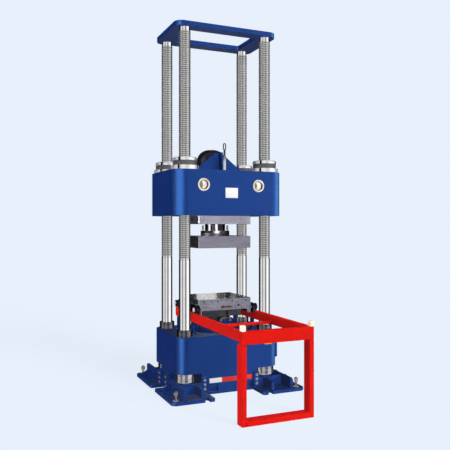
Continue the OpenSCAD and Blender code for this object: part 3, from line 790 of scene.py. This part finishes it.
class MACHINE_OT_stage(Operator):
    """Sets the floor, the studio light and the camera"""
    bl_idname = "machine.stage"
    bl_label = "Studio Stage"

    def execute(self, context):
        scene = context.scene
        looks = scene.machine_looks
        scene.view_settings.view_transform = "Standard"
        backdrop = looks.backdrop
        floor = bmesh.new()
        bmesh.ops.create_grid(floor, x_segments=1, y_segments=1, size=60)
        floor_material, tree = new_tree("pale_studio_floor")
        paths = add_node(tree, "ShaderNodeLightPath")
        lit = add_node(tree, "ShaderNodeBsdfDiffuse", {"Color": (*looks.floor_tone, 1)})
        pale = add_node(tree, "ShaderNodeEmission", {"Color": (*backdrop, 1), "Strength": 1.165})
        seen = add_node(tree, "ShaderNodeMixShader", {
            0: 0.8, 1: lit.outputs[0], 2: pale.outputs[0]})
        dim = add_node(tree, "ShaderNodeBsdfDiffuse", {"Color": (0.6, 0.61, 0.65, 1)})
        either = add_node(tree, "ShaderNodeMixShader", {
            0: paths.outputs["Is Camera Ray"], 1: dim.outputs[0], 2: seen.outputs[0]})
        add_node(tree, "ShaderNodeOutputMaterial", {"Surface": either.outputs[0]})
        MATERIALS["floor"] = floor_material
        ground = mesh_object("studio_floor", floor, "floor")
        ground.visible_glossy = False
        self.light_world(scene, backdrop, looks)
        for lamp in LAMPS:
            self.hang_lamp(scene, looks, *lamp)
        camera = bpy.data.cameras.new("studio_camera")
        camera.lens = CAMERA_LENS
        camera.sensor_width = 36
        holder = bpy.data.objects.new("studio_camera", camera)
        scene.collection.objects.link(holder)
        holder.location = CAMERA_PLACE
        holder.rotation_euler = (math.radians(90), 0, CAMERA_TURN)
        scene.camera = holder
        return {"FINISHED"}

    def hang_lamp(self, scene, looks, name, bearing, height, strength, spread, gloss_only,
                  slots=(), colour="#FFFFFF"):
        """One distant lamp. With slots, it lights only the pieces finished in those materials."""
        data = bpy.data.lights.new(name, "SUN")
        data.energy = strength * looks.lamp_level
        data.color = linear(colour)
        data.angle = math.radians(spread)
        lamp = bpy.data.objects.new(name, data)
        scene.collection.objects.link(lamp)
        lamp.visible_diffuse = not gloss_only
        lamp.visible_glossy = gloss_only
        if slots:
            lit = bpy.data.collections.new("lit_by_" + name)
            wanted = {MATERIALS[slot] for slot in MATERIALS if slot in slots or slots == PIECES}
            wanted.discard(MATERIALS["floor"])
            for obj in scene.collection.all_objects:
                if obj.type == "MESH" and wanted & set(obj.data.materials):
                    lit.objects.link(obj)
            lamp.light_linking.receiver_collection = lit
            if slots != PIECES:
                lamp.light_linking.blocker_collection = lit
        azimuth = TOWARD_CAMERA + math.radians(bearing)
        rise = math.radians(height)
        place = Vector((math.cos(azimuth) * math.cos(rise),
                        math.sin(azimuth) * math.cos(rise), math.sin(rise)))
        lamp.location = place * 8
        lamp.rotation_euler = place.to_track_quat("Z", "Y").to_euler()

    def light_world(self, scene, backdrop, looks):
        """The camera sees the backdrop, matt surfaces a plain dim room, and gloss a studio with
        white screens and black flags round the machine."""
        world = bpy.data.worlds.new("studio_room")
        scene.world = world
        world.use_nodes = True
        tree = world.node_tree
        tree.nodes.clear()
        paths = add_node(tree, "ShaderNodeLightPath")
        way = add_node(tree, "ShaderNodeTexCoord").outputs["Generated"]
        turned = add_node(tree, "ShaderNodeMapping",
                          {"Vector": way, "Rotation": (0, 0, -TOWARD_CAMERA)}).outputs[0]
        parts = add_node(tree, "ShaderNodeSeparateXYZ", {0: turned})
        bearing = add_node(tree, "ShaderNodeMath", {0: parts.outputs[1], 1: parts.outputs[0]},
                           operation="ARCTAN2").outputs[0]
        share = add_node(tree, "ShaderNodeMapRange", {
            "Value": bearing, "From Min": -math.pi, "From Max": math.pi}).outputs[0]
        ring = screen_ramp(tree, share, SCREENS, -180, 180)
        # Straight behind the machine the screens are narrow, so they have a scale of their own.
        back = add_node(tree, "ShaderNodeVectorMath", {0: turned, "Scale": -1.0}, operation="SCALE")
        sides = add_node(tree, "ShaderNodeSeparateXYZ", {0: back.outputs[0]})
        off = add_node(tree, "ShaderNodeMath", {0: sides.outputs[1], 1: sides.outputs[0]},
                       operation="ARCTAN2").outputs[0]
        span = math.radians(BACK_SPAN)
        near = add_node(tree, "ShaderNodeMapRange", {
            "Value": off, "From Min": -span, "From Max": span}).outputs[0]
        narrow = screen_ramp(tree, near, BACK_SCREENS, -BACK_SPAN, BACK_SPAN)
        behind = add_node(tree, "ShaderNodeMath", {0: off, 1: 0.0, 2: span}, operation="COMPARE")
        ramp = add_node(tree, "ShaderNodeMix", {"Factor": behind.outputs[0]}, data_type="RGBA")
        tree.links.new(ring, ramp.inputs["A"])
        tree.links.new(narrow, ramp.inputs["B"])
        above = add_node(tree, "ShaderNodeMapRange", {
            "Value": parts.outputs[2], "From Min": 0.4, "From Max": 0.75,
            "To Min": 1.0, "To Max": 0.35}).outputs[0]
        screens = add_node(tree, "ShaderNodeVectorMath", {0: ramp.outputs["Result"], "Scale": above},
                           operation="SCALE").outputs[0]
        # Well below eye level gloss shows the pale floor, a little lighter under the screens.
        lower = ramp_up(tree, parts.outputs[2], -0.24, -0.3)
        floor = add_node(tree, "ShaderNodeVectorMath", {
            0: ring, 1: (0.35, 0.35, 0.35), 2: (0.16, 0.16, 0.16)}, operation="MULTIPLY_ADD")
        screens = blended(tree, lower, screens, floor.outputs[0])
        room = add_node(tree, "ShaderNodeMix", {"Factor": paths.outputs["Is Glossy Ray"]},
                        data_type="RGBA")
        room.inputs["A"].default_value = (*scaled((1, 1, 1), looks.room_level), 1)
        tree.links.new(screens, room.inputs["B"])
        seen = add_node(tree, "ShaderNodeMath", {
            0: paths.outputs["Is Camera Ray"], 1: paths.outputs["Is Transmission Ray"]},
            operation="MAXIMUM").outputs[0]
        colour = add_node(tree, "ShaderNodeMix", {"Factor": seen}, data_type="RGBA")
        tree.links.new(room.outputs["Result"], colour.inputs["A"])
        colour.inputs["B"].default_value = (*backdrop, 1)
        background = add_node(tree, "ShaderNodeBackground",
                              {"Color": colour.outputs["Result"], "Strength": 1.0})
        add_node(tree, "ShaderNodeOutputWorld", {"Surface": background.outputs[0]})


# Name, bearing to the right of the camera, height, strength, spread, whether only gloss shows it,
# and the materials it lights (all, with the floor, when none are named). A strip only draws the
# long soft glint down a round corner, and the sheen only brightens ground faces.
ENAMEL = ("blue_paint",)
BLUES = ("blue_paint", "blue_painted_shade")
TUBE = ("red_paint", "cream_pad")
STEEL = ("ground_steel", "platen_steel", "planed_steel")
METAL = STEEL + ("dark_steel", "black_steel", "collar_steel", "turned_steel", "brown_steel",
                 "bolt_zinc", "nut_steel", "thread", "rod_steel", "black_gloss", "seat_black",
                 "ring_steel", "plug_steel", "bronze", "spring_steel", "axle_end_highlight", "white_plate",
                 "cream_pad")
PIECES = ("all",)
LAMPS = [
    ("broad_lamp", 45, 22, 2.6, 25, False),
    ("rear_enamel_fill", -128, 9, 4.0, 40, False, BLUES, "#4FAFFF"),
    ("rear_tube_fill", -128, 9, 1.5, 40, False, ("red_paint",), "#FF9080"),
    ("rear_steel_fill", -128, 9, 3.2, 40, False, METAL),
    ("overhead_fill", 0, 75, 1.3, 80, False, PIECES),
    ("front_fill", -10, 15, 0.5, 90, False, PIECES),
    ("floor_bounce", 0, -60, 1.3, 60, False, ENAMEL),
    ("tube_side_fill", -66, 1, 1.4, 4, False, TUBE, "#FFDCD2"),
    ("left_strip", -28, 4, 3.8, 54, True, ENAMEL, "#FAFFD8"),
    ("right_strip", 106, 4, 1.6, 45, True, ENAMEL, "#8FEDEF"),
    ("steel_sheen", 28, 3, 0.45, 6, True, STEEL),
    ("corner_glint", -43, 4, 0.8, 8, True, STEEL),
    ("seat_glint_left", -66, 4, 7, 28, True, ("seat_black",)),
    ("seat_glint_right", 17, 4, 8, 28, True, ("seat_black", "ring_steel")),
]

# Bearing where each screen or flag begins, in degrees to the right of the camera as seen from the
# machine, and its brightness.
SCREENS = [(-180, 0.02), (-88, 0.8), (-47, 0.2), (-27, 0.85), (8, 0.28), (42, 1.1), (97, 0.02)]
# The same for the screens that the lapped platen shows, in degrees from straight behind.
BACK_SPAN = 4
BACK_SCREENS = [(-4, 0.03), (-1.04, 0.15), (-0.57, 0.01), (0, 0.06), (0.8, 0.62), (2.65, 0.02)]


class MachineLooks(PropertyGroup):
    """Colours and sizes that a user would change"""
    enamel_blue: FloatVectorProperty(
        name="Blue enamel", description="Colour of the castings and feet", subtype="COLOR",
        default=linear("#1E3F80"), min=0, max=1)
    enamel_red: FloatVectorProperty(
        name="Red enamel", description="Colour of the rail frame", subtype="COLOR",
        default=linear("#E01C16"), min=0, max=1)
    backdrop: FloatVectorProperty(
        name="Backdrop", description="Colour behind the machine", subtype="COLOR",
        default=linear("#E7F0FB"), min=0, max=1)
    floor_tone: FloatVectorProperty(
        name="Floor", description="Colour of the floor where light falls on it", subtype="COLOR",
        default=linear("#E7F0FB"), min=0, max=1)
    thread_pitch: FloatProperty(
        name="Thread pitch", description="Pitch of the column threads, drawn half as coarse "
        "again as the real one so that it shows", default=0.018, min=0.012, unit="LENGTH")
    lamp_level: FloatProperty(
        name="Lamps", description="Strength of all the studio lamps", default=1.0, min=0)
    room_level: FloatProperty(
        name="Room light", description="Brightness of the room for matt surfaces", default=0.05,
        min=0, max=1)


class MACHINE_PT_panel(Panel):
    """Lists the steps that finish the machine"""
    bl_idname = "MACHINE_PT_panel"
    bl_label = "Testing Machine"
    bl_space_type = "VIEW_3D"
    bl_region_type = "UI"
    bl_category = "Testing Machine"

    def draw(self, context):
        looks = context.scene.machine_looks
        for name in MachineLooks.__annotations__:
            self.layout.prop(looks, name)
        for step in STEPS:
            self.layout.operator(step.bl_idname)


STEPS = (MACHINE_OT_finish_nodes, MACHINE_OT_columns, MACHINE_OT_springs, MACHINE_OT_fittings,
         MACHINE_OT_plates, MACHINE_OT_stage)
CLASSES = (MachineLooks, *STEPS, MACHINE_PT_panel)


def register():
    for item in CLASSES:
        bpy.utils.register_class(item)
    bpy.types.Scene.machine_looks = PointerProperty(type=MachineLooks)


def unregister():
    del bpy.types.Scene.machine_looks
    for item in reversed(CLASSES):
        bpy.utils.unregister_class(item)


def main():
    register()
    for step in STEPS:
        group, name = step.bl_idname.split(".")
        getattr(getattr(bpy.ops, group), name)()


if __name__ == "__main__":
    main()
